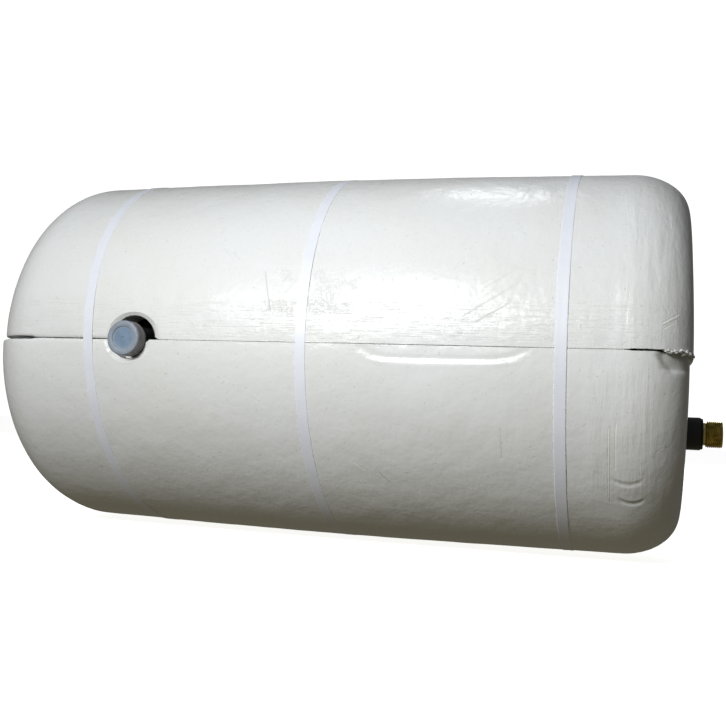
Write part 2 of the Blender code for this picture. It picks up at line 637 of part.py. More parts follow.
def make_valve_pin():
    """The pin that an air chuck presses: a collar for the spring, and a head that carries the seat seal."""
    tip, tail = -STEM_DEPTH - TOUCH_GAP, SEAL_INNER - TOUCH_GAP - PIN_RADIUS
    head = PIN_HOLE_RADIUS + 2 * TOUCH_GAP
    profile = [
        (0, tip), (PIN_RADIUS, tip), (PIN_RADIUS, COLLAR_TOP), (PIN_COLLAR_RADIUS, COLLAR_TOP),
        (PIN_COLLAR_RADIUS, COLLAR_BOTTOM), (PIN_RADIUS, COLLAR_BOTTOM),
        (PIN_RADIUS, SEAL_INNER - TOUCH_GAP), (head, SEAL_INNER - TOUCH_GAP), (head, tail), (0, tail),
    ]
    turned("valve_pin", profile, VALVE_STEPS, BRASS, GAS_PORT)
    seal = [
        (CORE_RADIUS - TOUCH_GAP, CORE_INNER - TOUCH_GAP), (CORE_RADIUS - TOUCH_GAP, SEAL_INNER),
        (PIN_HOLE_RADIUS, SEAL_INNER), (PIN_HOLE_RADIUS, CORE_INNER - TOUCH_GAP),
    ]
    turned("valve_seat_seal", seal, VALVE_STEPS, RUBBER, GAS_PORT)


def make_valve_spring(points_per_turn=10):
    """A coil between the core's inner wall and the pin's collar, which pushes the pin out."""
    clear = SPRING_WIRE_RADIUS + TOUCH_GAP / 2
    bottom, top = CORE_INNER + CORE_PLATE + clear, COLLAR_BOTTOM - clear
    radius = (PIN_RADIUS + CORE_RADIUS - CORE_WALL) / 2
    count = SPRING_TURNS * points_per_turn
    curve = bpy.data.curves.new("valve_spring", "CURVE")
    curve.dimensions = "3D"
    curve.bevel_depth = SPRING_WIRE_RADIUS
    curve.bevel_resolution = 1
    curve.use_fill_caps = True
    coil = curve.splines.new("POLY")
    coil.points.add(count)
    for i, point in enumerate(coil.points):
        turn = math.tau * i / points_per_turn
        height = bottom + (top - bottom) * i / count
        point.co = (radius * math.cos(turn), radius * math.sin(turn), height, 1)
    curve.materials.append(SPRING_STEEL)
    spring = bpy.data.objects.new("valve_spring", curve)
    ASSEMBLY.objects.link(spring)
    spring.parent = GAS_PORT


def make_dust_cap():
    """The small screw cap on the stem, and the rubber disc inside it."""
    seal_bottom = -STEM_DEPTH + TOUCH_GAP
    seal_top = seal_bottom + DUST_CAP_SEAL_HEIGHT
    disc = [(0, seal_top), (STEM_RADIUS, seal_top), (STEM_RADIUS, seal_bottom), (0, seal_bottom)]
    turned("valve_cap_seal", disc, VALVE_STEPS, RUBBER, GAS_PORT)
    bore, inner_top = STEM_RADIUS + TOUCH_GAP, seal_top + TOUCH_GAP
    radius, top, skirt = bore + DUST_CAP_WALL, inner_top + DUST_CAP_TOP, -STEM_DEPTH - DUST_CAP_SKIRT
    profile = [
        (0, top), (radius - TOUCH_GAP, top), (radius, top - TOUCH_GAP), (radius, skirt), (bore, skirt),
        (bore, inner_top), (0, inner_top),
    ]
    turned("valve_dust_cap", profile, VALVE_STEPS, BLACK_PLASTIC, GAS_PORT)


def make_protective_cap():
    """The push-on plastic cap over the nipple's thread, its face dished inside a raised rim."""
    bore, inner_top = PIPE_THREAD_RADIUS + TOUCH_GAP, 2 * TOUCH_GAP
    radius, top = bore + PROTECTIVE_CAP_WALL, inner_top + PROTECTIVE_CAP_TOP
    edge, rim = PROTECTIVE_CAP_DISH, radius - PROTECTIVE_CAP_RIM
    profile = [
        (0, top - PROTECTIVE_CAP_DISH), (rim - edge, top - PROTECTIVE_CAP_DISH), (rim, top),
        (radius - edge, top), (radius, top - edge), (radius, -PROTECTIVE_CAP_SKIRT),
        (bore, -PROTECTIVE_CAP_SKIRT), (bore, inner_top), (0, inner_top),
    ]
    return turned("protective_cap", profile, FITTING_STEPS, CAP_PLASTIC, GAS_PORT)


def make_gas_port():
    make_gas_nipple()
    make_valve_carrier()
    make_valve_stem()
    make_valve_core()
    make_valve_pin()
    make_valve_spring()
    make_dust_cap()
    make_protective_cap()


# ---- Water port ---------------------------------------------------------------------------------------
# Heights are measured outwards from the plane of the foam's end.


def make_water_socket():
    """A steel socket, welded into the low side of the water head and reaching out through the foam."""
    root = head_x_at(WATER_PORT_DROP, STEEL_WALL) - SOCKET_ROOT - HALF_LENGTH
    profile = [
        (SOCKET_RADIUS - THREAD_CHAMFER, SOCKET_STANDOUT), (SOCKET_RADIUS, SOCKET_STANDOUT - THREAD_CHAMFER),
        (SOCKET_RADIUS, root), (SOCKET_BORE_RADIUS, root), (SOCKET_BORE_RADIUS, SOCKET_STANDOUT),
    ]
    return turned("water_port_socket", profile, FITTING_STEPS, BLACK_STEEL, WATER_PORT)


def make_water_nipple():
    """The brass nipple: a tail inside the socket, a turned neck and the male pipe thread."""
    tail = SOCKET_BORE_RADIUS - TOUCH_GAP
    face = SOCKET_STANDOUT + TOUCH_GAP
    thread = face + NIPPLE_NECK_LENGTH
    crest, chamfer = PIPE_THREAD_RADIUS, THREAD_CHAMFER
    profile = [
        (crest - chamfer, NIPPLE_OVERALL), (crest, NIPPLE_OVERALL - chamfer), (crest, thread + chamfer),
        (crest - chamfer, thread), (NIPPLE_NECK_RADIUS, thread), (NIPPLE_NECK_RADIUS, SOCKET_STANDOUT),
        (tail, SOCKET_STANDOUT - chamfer), (tail, SOCKET_STANDOUT - NIPPLE_TAIL_LENGTH),
        (NIPPLE_BORE_RADIUS, SOCKET_STANDOUT - NIPPLE_TAIL_LENGTH), (NIPPLE_BORE_RADIUS, NIPPLE_OVERALL),
    ]
    turned("water_nipple", profile, FITTING_STEPS, BRASS, WATER_PORT)
    bore = NIPPLE_NECK_RADIUS + TOUCH_GAP
    washer = [
        (WASHER_RADIUS, face + WASHER_THICKNESS), (WASHER_RADIUS, face), (bore, face),
        (bore, face + WASHER_THICKNESS),
    ]
    turned("nipple_seal_washer", washer, FITTING_STEPS, RUBBER, WATER_PORT)


def make_port_guard():
    """A domed, perforated plate on the head's inside, which keeps the diaphragm out of the port."""
    rest = math.sqrt(HEAD_INNER_CROWN**2 - GUARD_RADIUS**2) - GUARD_SEAT_GAP
    top = rest - GUARD_RISE
    shoulder = top + GUARD_CROWN
    profile = [
        (0, top + GUARD_WALL), (GUARD_SHOULDER_RADIUS, shoulder + GUARD_WALL), (GUARD_RADIUS, rest),
        (GUARD_RADIUS, rest - GUARD_WALL), (GUARD_SHOULDER_RADIUS, shoulder), (0, top),
    ]
    guard = turned("water_port_guard", profile, FITTING_STEPS, ZINC, WATER_HEAD_CENTRE)
    below, ring = top - GUARD_RISE, GUARD_SHOULDER_RADIUS / 2
    for i in range(GUARD_HOLE_COUNT):
        turn = math.tau * i / GUARD_HOLE_COUNT
        hole = turned(
            f"guard_hole_{i}", [(0, rest), (GUARD_HOLE_RADIUS, rest), (GUARD_HOLE_RADIUS, below), (0, below)],
            8, None, WATER_HEAD_CENTRE, True,
        )
        hole.location = (ring * math.cos(turn), ring * math.sin(turn), 0)
        shaped(guard, hole)


def make_water_port():
    make_water_socket()
    make_water_nipple()
    make_port_guard()


def shade_assembly(crease=math.radians(30)):
    """Applies each piece's modifiers, then shades it smooth up to its creases."""
    for piece in ASSEMBLY.objects:
        if piece.type == "MESH":
            settled(piece)
            piece.data.shade_smooth()
            piece.data.set_sharp_from_angle(angle=crease)


make_steel_vessel()
make_diaphragm()
make_clamp_ring()
make_insulation()
make_bands()
make_gas_port()
make_water_port()
shade_assembly()
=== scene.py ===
"""Looks of the insulated expansion vessel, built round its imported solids.

Lengths are metres. The vessel lies along +X, its capped gas port faces -Y, and +Z is up.
"""
import math

import bpy
import numpy as np
from mathutils import Matrix, Vector, noise


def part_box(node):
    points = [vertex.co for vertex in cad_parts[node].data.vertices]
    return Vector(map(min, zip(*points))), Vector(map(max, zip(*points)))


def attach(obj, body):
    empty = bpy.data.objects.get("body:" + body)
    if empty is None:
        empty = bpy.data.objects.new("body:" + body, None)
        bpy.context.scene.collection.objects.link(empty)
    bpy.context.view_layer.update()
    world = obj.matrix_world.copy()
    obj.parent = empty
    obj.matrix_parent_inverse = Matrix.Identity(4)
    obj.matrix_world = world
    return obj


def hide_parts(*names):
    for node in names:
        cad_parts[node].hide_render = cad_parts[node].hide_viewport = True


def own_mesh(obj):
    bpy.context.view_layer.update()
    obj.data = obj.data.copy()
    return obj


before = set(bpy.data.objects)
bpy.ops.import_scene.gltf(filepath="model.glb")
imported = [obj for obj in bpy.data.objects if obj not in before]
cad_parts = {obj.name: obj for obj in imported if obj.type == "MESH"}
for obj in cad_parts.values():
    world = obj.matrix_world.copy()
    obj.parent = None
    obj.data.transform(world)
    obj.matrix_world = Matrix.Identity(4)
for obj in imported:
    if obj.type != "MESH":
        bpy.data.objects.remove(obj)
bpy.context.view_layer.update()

bpy.ops.object.select_all(action="DESELECT")

# ---- Steel vessel -------------------------------------------------------------------------------------
# The pressure vessel: a rolled barrel and two pressed heads in 1.6 mm steel, joined by one round weld at
# each end, then sprayed with black stove enamel. It lies hidden inside the foam.


class Wire:
    """An output socket of a shader node, on which sums can be written."""

    def __init__(self, tree, socket=None):
        self.tree, self.socket = tree, socket

    def node(self, kind, inputs=None, out=0, stops=None, **settings):
        """Adds a node: its settings first, then a ramp's stops, then values or wires on its sockets."""
        made = self.tree.nodes.new("ShaderNode" + kind)
        for key, value in settings.items():
            setattr(made, key, value)
        if stops:
            ramp = made.color_ramp.elements
            ramp[0].position, ramp[0].color = stops[0]
            ramp[1].position, ramp[1].color = stops[-1]
            for place, colour in stops[1:-1]:
                ramp.new(place).color = colour
        for key, value in (inputs or {}).items():
            if isinstance(value, Wire):
                self.tree.links.new(value.socket, made.inputs[key])
            else:
                made.inputs[key].default_value = value
        return Wire(self.tree, made.outputs[out])

    def maths(self, operation, *values):
        return self.node("Math", dict(enumerate(values)), operation=operation)

    def __add__(self, other):
        return self.maths("ADD", self, other)

    def __sub__(self, other):
        return self.maths("SUBTRACT", self, other)

    def __rsub__(self, other):
        return self.maths("SUBTRACT", other, self)

    def __mul__(self, other):
        return self.maths("MULTIPLY", self, other)

    def __truediv__(self, other):
        return self.maths("DIVIDE", self, other)

    __radd__, __rmul__ = __add__, __mul__

    def step(self, low, high):
        """0 below low and 1 above high, with a smooth rise. low may be the higher, for a fall."""
        if low > high:
            return 1 - self.step(high, low)
        return self.node(
            "MapRange", {"Value": self, "From Min": low, "From Max": high}, interpolation_type="SMOOTHSTEP"
        )

    def within(self, low, high, soft):
        return self.step(low - soft, low) * self.step(high + soft, high)

    def mix(self, colour, other):
        """colour where this mask is 0 and the other one where it is 1."""
        return self.node("Mix", {0: self, 6: colour, 7: other}, out=2, data_type="RGBA")

    def noise(self, scale, detail=3.0, roughness=0.55, distortion=0.0):
        return self.node(
            "TexNoise",
            {"Vector": self, "Scale": scale, "Detail": detail, "Roughness": roughness,
             "Distortion": distortion},
        )

    def stretched(self, x, y, z):
        return self.node("Mapping", {"Vector": self, "Scale": (x, y, z)})


def rgb(red, green, blue):
    return (red, green, blue, 1.0)


def bare_finish(name, metallic=0.0, specular=0.5):
    """A new material, its shader and a wire with the place on the piece, in metres."""
    made = bpy.data.materials.new(name)
    made.use_nodes = True
    shader = made.node_tree.nodes["Principled BSDF"]
    shader.inputs["Metallic"].default_value = metallic
    shader.inputs["Specular IOR Level"].default_value = specular
    return made, shader, Wire(made.node_tree).node("TexCoord", out="Object")


def plug(shader, **wires):
    """Joins wires to the shader's sockets, named with _ for a space."""
    for key, wire in wires.items():
        wire.tree.links.new(wire.socket, shader.inputs[key.replace("_", " ")])


def clouded_finish(
    name, colour, shade, roughness, metallic=0.0, cloud=35.0, grain=700.0, depth=0.00003, uneven=0.2
):
    """Paint, metal, rubber or plastic: colour clouded with a second shade, over a fine grain."""
    made, shader, place = bare_finish(name, metallic)
    patches = place.noise(cloud, 5.0, 0.62)
    fine = place.noise(grain, 3.0, 0.6)
    mask = (patches * 0.75 + fine * 0.25).step(0.36, 0.66)
    plug(
        shader,
        Base_Color=mask.mix(colour, shade),
        Roughness=patches * uneven + fine * (uneven / 2) + (roughness - 0.75 * uneven),
        Normal=place.node("Bump", {"Height": fine, "Distance": depth, "Strength": 0.8}),
    )
    return made


def dress(material, *nodes):
    """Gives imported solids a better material, and leaves their shape alone."""
    for node in nodes:
        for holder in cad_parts[node].material_slots:
            holder.material = material


enamel = clouded_finish(
    "black_stove_enamel", rgb(0.012, 0.012, 0.014), rgb(0.03, 0.029, 0.028), roughness=0.36, cloud=20
)
weld = clouded_finish(
    "weld_bead", rgb(0.19, 0.17, 0.15), rgb(0.07, 0.06, 0.055), roughness=0.5, metallic=1.0, cloud=260,
    grain=900, depth=0.0002,
)
dress(enamel, "vessel_barrel", "gas_end_head", "water_end_head")
dress(weld, "gas_end_weld", "water_end_weld")

# ---- Diaphragm ----------------------------------------------------------------------------------------
# A moulded butyl rubber cup that parts the gas from the water. An expanded, zinc-plated hoop presses its
# thick rim into the barrel's swage. A perforated zinc-plated plate keeps it out of the water port.

rubber = clouded_finish(
    "butyl_rubber", rgb(0.016, 0.016, 0.017), rgb(0.04, 0.039, 0.037), roughness=0.66, cloud=60, grain=900
)
zinc = clouded_finish(
    "zinc_plate", rgb(0.63, 0.64, 0.65), rgb(0.42, 0.43, 0.42), roughness=0.34, metallic=1.0, cloud=180,
    grain=1400, depth=0.00002,
)
dress(rubber, "diaphragm")
dress(zinc, "diaphragm_clamp_ring", "water_port_guard")

# ---- Foam shells --------------------------------------------------------------------------------------
# Two half shells of moulded white foam with a glossy skin, about 30 mm thick, closed round the vessel and
# split along the horizontal mid plane. The lower one sits 3 mm nearer the gas end. Their skin is creased
# and scratched, and the seam is torn at the water end.

UPPER_LOW, UPPER_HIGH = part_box("upper_insulation_shell")
LOWER_LOW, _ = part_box("lower_insulation_shell")
BARREL_LOW, BARREL_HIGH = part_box("vessel_barrel")
AXIS = Vector((
    (LOWER_LOW.x + UPPER_HIGH.x) / 2, (BARREL_LOW.y + BARREL_HIGH.y) / 2, (BARREL_LOW.z + BARREL_HIGH.z) / 2
))
SHELL_SLIP = (UPPER_LOW.x - LOWER_LOW.x) / 2
UPPER_SHIFT, LOWER_SHIFT = -0.0012, 0.0008   # each half's play along the vessel
UPPER_HOLE, LOWER_HOLE = 0.0226, 0.0183      # the half holes' radii round the gas port
HOLE_BACK = 0.0015                           # how far both lie from the port, towards the gas end
SOCKET_HOLE = 0.0167
SHORTER = 0.9985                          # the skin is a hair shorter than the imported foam
HALF_LENGTH = (UPPER_HIGH.x - UPPER_LOW.x) / 2 * SHORTER
FOAM_MIDDLE = UPPER_HIGH.z - AXIS.z       # radius at mid length
FOAM_CROWN = 0.00399                      # how much thicker the foam is there than at the ends
FOAM_END = FOAM_MIDDLE - FOAM_CROWN
FOAM_WALL = 0.029
GAS_CORNER = (0.061, 0.066, 0.011)        # rounded corner: length, depth, bulge of the end's dome
WATER_CORNER = (0.0510, 0.0365, 0.0063)
SEAM_HALF_GAP = 0.00014
CAP_LOW, CAP_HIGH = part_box("protective_cap")
PORT = Vector(((CAP_LOW.x + CAP_HIGH.x) / 2, CAP_LOW.y, AXIS.z))   # centre of the protective cap's face
NIPPLE_LOW, NIPPLE_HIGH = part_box("gas_port_nipple")


def foam_radius(x):
    """Radius of the foam between its corners, with x from its middle."""
    return FOAM_END + FOAM_CROWN * (1 - (x / HALF_LENGTH) ** 2)


def foam_end(corner, dome_count, corner_count):
    """One end's outline from its pole, as (inset from the end, radius before the swell)."""
    length, depth, bulge = corner
    face = FOAM_END - depth
    dome = [(bulge * (i / dome_count) ** 2, face * i / dome_count) for i in range(dome_count)]
    angles = [math.pi / 2 * i / corner_count for i in range(corner_count + 1)]
    return dome + [(bulge + length * (1 - math.cos(a)), face + depth * math.sin(a)) for a in angles]


def foam_outline(along=160):
    """The foam's whole outline from the gas pole to the water pole, as (x, radius)."""
    gas, water = foam_end(GAS_CORNER, 12, 22), foam_end(WATER_CORNER, 14, 34)
    points = [(-HALF_LENGTH + inset, radius) for inset, radius in gas]
    first, last = points[-1][0], HALF_LENGTH - water[-1][0]
    points += [(first + (last - first) * i / along, FOAM_END) for i in range(1, along)]
    points += [(HALF_LENGTH - inset, radius) for inset, radius in water[::-1]]
    return [(x, radius * foam_radius(x) / FOAM_END) for x, radius in points]


def select_none():
    bpy.ops.object.select_all(action="DESELECT")


def turned(name, profile, centre, axis, steps, sweep=math.tau, start=Vector((0, 0, 1))):
    """A turned piece. The profile's (height, radius) points run along the axis from the centre."""
    select_none()
    axis, across = Vector(axis).normalized(), Vector(start).normalized()
    points = [Vector(centre) + axis * height + across * radius for height, radius in profile]
    bpy.ops.mesh.primitive_plane_add(size=0.001, location=points[0])
    piece = bpy.context.object
    piece.name = piece.data.name = name
    bpy.ops.object.mode_set(mode="EDIT")
    bpy.ops.mesh.select_all(action="SELECT")
    bpy.ops.mesh.merge(type="CENTER")
    for here, there in zip(points, points[1:]):
        bpy.ops.mesh.extrude_vertices_move(TRANSFORM_OT_translate={"value": there - here})
    bpy.ops.mesh.select_all(action="SELECT")
    bpy.ops.mesh.spin(steps=steps, angle=sweep, center=centre, axis=axis)
    bpy.ops.mesh.select_all(action="SELECT")
    bpy.ops.mesh.remove_doubles(threshold=0.00001)
    bpy.ops.mesh.normals_make_consistent(inside=False)
    bpy.ops.object.mode_set(mode="OBJECT")
    bpy.ops.object.transform_apply(location=True, rotation=True, scale=True)
    return piece


def points_of(piece):
    """The piece's vertices, as rows of x, y and z."""
    found = np.empty(len(piece.data.vertices) * 3)
    piece.data.vertices.foreach_get("co", found)
    return found.reshape(-1, 3)


def move_points(piece, points):
    """Puts the piece's vertices at these rows of x, y and z."""
    piece.data.vertices.foreach_set("co", np.ascontiguousarray(points).ravel())
    piece.data.update()


def modified(piece, kind, **settings):
    """Adds a modifier with these settings and applies it."""
    select_none()
    piece.select_set(True)
    bpy.context.view_layer.objects.active = piece
    added = piece.modifiers.new(kind.lower(), kind)
    for key, value in settings.items():
        setattr(added, key, value)
    bpy.ops.object.modifier_apply(modifier=added.name)
    return piece


def cut(piece, tool):
    """Cuts the tool's space out of the piece and removes the tool."""
    modified(piece, "BOOLEAN", operation="DIFFERENCE", solver="MANIFOLD", object=tool)
    bpy.data.objects.remove(tool, do_unlink=True)
    return piece


def smooth(piece, crease=30.0):
    """Shades the piece smooth, but for edges sharper than the crease, in degrees."""
    select_none()
    piece.select_set(True)
    bpy.context.view_layer.objects.active = piece
    bpy.ops.object.shade_smooth_by_angle(angle=math.radians(crease))
    return piece


def wobble(x, y, z, scale, seed=0.0):
    """Smooth noise between about -1 and 1 at each point."""
    return np.array([noise.noise(Vector(p) * scale + Vector((seed, seed, seed))) for p in zip(x, y, z)])


def rise(value, low, high):
    """0 below low and 1 above high, smoothly. low may be the higher, for a fall."""
    share = np.clip((value - low) / (high - low), 0, 1)
    return share * share * (3 - 2 * share)


def near_path(x, z, path):
    """Distance of each point from a line of (x, z) points."""
    nearest = np.full(len(x), 9.0)
    for (ax, az), (bx, bz) in zip(path, path[1:]):
        run, climb = bx - ax, bz - az
        share = np.clip(((x - ax) * run + (z - az) * climb) / (run ** 2 + climb ** 2), 0, 1)
        nearest = np.minimum(nearest, np.hypot(x - ax - share * run, z - az - share * climb))
    return nearest


def stretch(x, start, full, last, end):
    """1 between the two inner places and 0 beyond the outer ones, smoothly."""
    return rise(x, start, full) * rise(x, end, last)


CREASE = ((0.064, -0.003), (0.073, -0.0080), (0.084, -0.0115), (0.115, -0.0127), (0.177, -0.0112),
          (0.195, -0.0075), (0.205, -0.003))
SEAM_ROWS = (0.0004, 0.0011, 0.002, 0.0033, 0.0050, 0.0068, 0.0088, 0.0108, 0.0128, 0.0150, 0.018)
TORN = (0.292, 0.302, 0.332, 0.340)      # along the vessel: the torn stretch of the seam
OPENED = (0.282, 0.291, 0.301, 0.308)    # where it stands open, beside the tear
WRINKLED = (0.288, 0.303, 0.325, 0.338)  # where the corner is wrinkled


def crease_depth(x, z):
    """The sunk strip below the seam, and the fold that stands up at its lower edge."""
    gap = near_path(x, z, CREASE)
    inside = stretch(x, 0.066, 0.090, 0.184, 0.205) * rise(z, -0.0127, -0.0105)
    fold = 0.00025 * np.exp(-((gap - 0.004) / 0.002) ** 2) * (z < -0.012)
    return 0.0006 * np.exp(-(gap / 0.0026) ** 2) + 0.0006 * inside - fold


def skin_waves(x, y, z, height, front, side):
    """How far the skin stands out from its turned shape."""
    wave = 0.00055 * wobble(x, y, z, 9) + 0.00028 * wobble(x, y, z, 26, 3) + 0.00010 * wobble(x, y, z, 70, 7)
    wave -= 0.0005 * np.exp(-height / 0.010) * (0.5 + wobble(x, y * 0, z * 0, 30, 5))
    wave -= np.where(front, 0.0013 * rise(x, -0.165, -0.185) * np.exp(-height / 0.0012), 0)
    ripple = np.sin(x * 820 + 2.2 * wobble(x, y, z, 14, 9)) * wobble(x * 0.4, y, z, 30, 2)
    wave += 0.00022 * ripple * stretch(x, *WRINKLED) * rise(height, 0.004, 0.02)
    if side < 0:
        wave -= np.where(front, crease_depth(x, z), 0)
        reach = 0.006 + 0.009 * rise(x, 0.308, 0.320)
        chip = stretch(x, *TORN) * rise(height / reach, 1.25, 0.85) * rise(x, 0.306, 0.313)
        wave -= np.where(front, chip * (0.0036 + 0.0012 * wobble(x, y, z, 70, 6)), 0)
    return wave


def seam_lift(x, y, z, front, side):
    """How far the edge stands back from the mid plane: a ragged hairline that opens at both ends."""
    lift = SEAM_HALF_GAP + 0.00010 * wobble(x, y * 0 + side, z * 0, 24, 8)
    lift += 0.0004 * side * wobble(x, y * 0, z * 0, 7, 1)
    lift += np.where(front, 0.00022 * rise(x, -0.17, -0.19) + 0.0011 * rise(x, -0.262, -0.270), 0.0002)
    lift += np.where(front, 0.0007 * stretch(x, *OPENED), 0)
    ragged = 0.0002 + 0.0007 * (0.5 + 0.5 * wobble(x, y * 0, z * 0, 190, 4))
    return lift + np.where(front, stretch(x, *TORN) * rise(x, 0.301, 0.308) * ragged, 0)


def foam_skin(name, side, slip):
    """Half of the foam's skin, worn as the real one is. side is 1 for the upper shell."""
    skin = turned(
        name, foam_outline(), AXIS + Vector((slip, 0, 0)), (1, 0, 0), 150, math.pi, (0, -side, 0)
    )
    bpy.ops.object.mode_set(mode="EDIT")
    for row in SEAM_ROWS:
        bpy.ops.mesh.select_all(action="SELECT")
        bpy.ops.mesh.bisect(plane_co=AXIS + Vector((0, 0, side * row)), plane_no=(0, 0, 1))
    bpy.ops.object.mode_set(mode="OBJECT")
    x, y, z = (points_of(skin) - np.array(AXIS)).T
    height, radius, front = np.maximum(side * z, 0), np.hypot(y, z), y < 0
    waved = np.maximum(radius + skin_waves(x, y, z, height, front, side), 0)
    scale = np.where(radius > 0.004, waved / np.maximum(radius, 1e-6), 1)
    y, z = y * scale, z * scale
    z = z + side * seam_lift(x, y, z, front, side) * np.exp(-height / 0.006)
    tuck = np.where(height < 0.0002, 0.9985, 1.0)
    move_points(skin, np.stack([x, y * tuck, z], 1) + np.array(AXIS))
    return skin


def port_hole(radius, width=0.0068, depth=0.0042):
    """Cutter for the half hole round the gas port, with a chamfer of that width and depth."""
    surface, past = NIPPLE_LOW.y + 0.0107, 0.012   # the foam's skin, and how far the cutter passes it
    bottom = surface + 0.0365
    profile = [
        (surface - past, 0), (surface - past, radius + width + past * width / depth),
        (surface + depth - 0.0006, radius + 0.0009), (surface + depth, radius), (bottom, radius), (bottom, 0),
    ]
    return turned("hole_tool", profile, (PORT.x, 0, AXIS.z), (0, 1, 0), 72)


def foam_finish(name):
    """Glossy white moulded skin, yellowed in clouds, with scuffs, fine streaks, scratches and painted shade
    in its chip.
    """
    made, shader, place = bare_finish(name)
    split = place.node("SeparateXYZ", {"Vector": place})
    x, y, z = (Wire(split.tree, split.socket.node.outputs[i]) for i in range(3))
    x, z = x - AXIS.x, z - AXIS.z
    front = (y - AXIS.y).step(-0.02, -0.06)
    clouds = place.noise(9, 5, 0.62)
    mottle = place.stretched(1.6, 1, 0.5).noise(60, 4, 0.6)
    grain = place.noise(1300, 2, 0.6)
    pits = place.noise(330, 2, 0.5).step(0.66, 0.74)
    streaks = place.stretched(0.2, 9, 9).noise(130, 3, 0.6).step(0.5, 0.68)
    streaks = streaks * z.within(0.006, 0.033, 0.012) * front
    brushed = place.stretched(7, 1, 0.6).noise(42, 4, 0.65)
    brushed_area = x.within(0.262, 0.305, 0.012) * z.within(-0.105, -0.022, 0.02) * front
    speckle = place.noise(420, 3, 0.7).step(0.45, 0.62) * place.noise(60, 2, 0.5).step(0.4, 0.6)
    speckle = speckle * x.within(-0.024, 0.052, 0.014) * z.within(0.030, 0.064, 0.012) * front

    def scratch(start, end, width, ends=0.002):
        """A straight scratch on the front, between two (x, z) places."""
        along = Vector((end[0] - start[0], end[1] - start[1]))
        length = along.length
        along /= length
        down = (x - start[0]) * along.x + (z - start[1]) * along.y
        off = (x - start[0]) * along.y - (z - start[1]) * along.x + (mottle - 0.5) * 0.0012
        line = off.maths("ABSOLUTE", off).step(width, width * 0.3)
        return line * down.within(0, length, ends) * front

    def scratches(*lines):
        """One mask for several scratches."""
        made_of = None
        for line in lines:
            mark = scratch(*line)
            made_of = mark if made_of is None else made_of.maths("MAXIMUM", made_of, mark)
        return made_of

    dark = scratches(
        ((-0.0317, 0.064), (-0.0214, 0.0286), 0.0006), ((0.1850, -0.068), (0.1857, -0.092), 0.0004),
        ((0.2736, -0.062), (0.2737, -0.124), 0.0005), ((0.1495, 0.0105), (0.1520, 0.0100), 0.0012),
        ((0.3130, 0.0200), (0.3235, 0.0265), 0.0005), ((0.0760, -0.1120), (0.0840, -0.1200), 0.0005),
    )
    bright = scratches(
        ((0.1844, -0.068), (0.1851, -0.092), 0.0009), ((0.2724, -0.064), (0.2725, -0.120), 0.0010),
        ((0.2780, -0.060), (0.2776, -0.096), 0.0009), ((0.3125, 0.0225), (0.3235, 0.0295), 0.0010),
        ((0.3130, 0.0175), (0.3195, 0.0220), 0.0007), ((0.0500, -0.1010), (0.0620, -0.1090), 0.0007),
    )
    folds = scratches(
        ((0.152, 0.028), (0.193, 0.055), 0.0042, 0.008), ((0.164, 0.023), (0.187, 0.037), 0.0030, 0.006),
        ((0.168, 0.052), (0.190, 0.066), 0.0034, 0.006), ((0.186, 0.1000), (0.197, 0.1005), 0.0016),
        ((-0.080, 0.086), (-0.070, 0.078), 0.0030), ((-0.070, 0.083), (-0.061, 0.075), 0.0026),
    )

    def crescent(middle_x, middle_z, half, sag, width):
        """A shallow thumb dent, bowed downwards, with soft edges."""
        share = (x - middle_x) / half
        off = z - middle_z + (1 - share * share) * sag + (clouds - 0.5) * 0.004
        return off.maths("ABSOLUTE", off).step(width, 0) * share.within(-0.6, 0.6, 0.4) * front

    dents = crescent(0.2875, -0.1040, 0.0145, 0.0050, 0.0034) * 0.7
    dents = dents + crescent(0.2910, -0.1210, 0.0120, 0.0045, 0.0030)
    skin = clouds.step(0.35, 0.7).mix(rgb(0.79, 0.80, 0.80), rgb(0.77, 0.775, 0.755))
    skin = (mottle.step(0.55, 0.8) * 0.2).mix(skin, rgb(0.70, 0.69, 0.64))
    skin = (brushed.step(0.52, 0.72) * brushed_area * 0.5).mix(skin, rgb(0.62, 0.61, 0.55))
    skin = (streaks * 0.24).mix(skin, rgb(0.66, 0.65, 0.60))
    skin = (pits * 0.35).mix(skin, rgb(0.55, 0.54, 0.48))
    # Painted shade: the chip under the torn seam is darkened grey, as if in its own shadow.
    chip_shade = x.within(0.312, 0.340, 0.005) * z.within(-0.0130, -0.0015, 0.003) * front
    skin = (chip_shade * 0.55).mix(skin, rgb(0.40, 0.40, 0.36))
    skin = (bright * 0.6).mix(skin, rgb(0.95, 0.945, 0.86))
    skin = (dark * 0.4).mix(skin, rgb(0.50, 0.49, 0.41))
    wrinkles = place.stretched(5, 1, 0.7).noise(26, 3, 0.55, 0.4) * x.within(0.284, 0.322, 0.012)
    wrinkles = wrinkles * z.within(0.006, 0.14, 0.02) * front
    level = (
        grain * 0.00005 + mottle * 0.0003 + clouds * 0.003 + wrinkles * 0.0008 + streaks * -0.00010
        + brushed * brushed_area * 0.0005 - pits * 0.00008 - dark * 0.0002 - bright * 0.00015
        + speckle * 0.0002 + folds * 0.00028 - dents * 0.0008
    )
    plug(
        shader,
        Base_Color=skin,
        Roughness=0.29 + (mottle - 0.5) * 0.12 + (grain - 0.5) * 0.10 + speckle * 0.25 + dark * 0.2,
        Normal=place.node("Bump", {"Height": level, "Distance": 1.0, "Strength": 1.0}),
    )
    return made


foam = foam_finish("moulded_foam_skin")


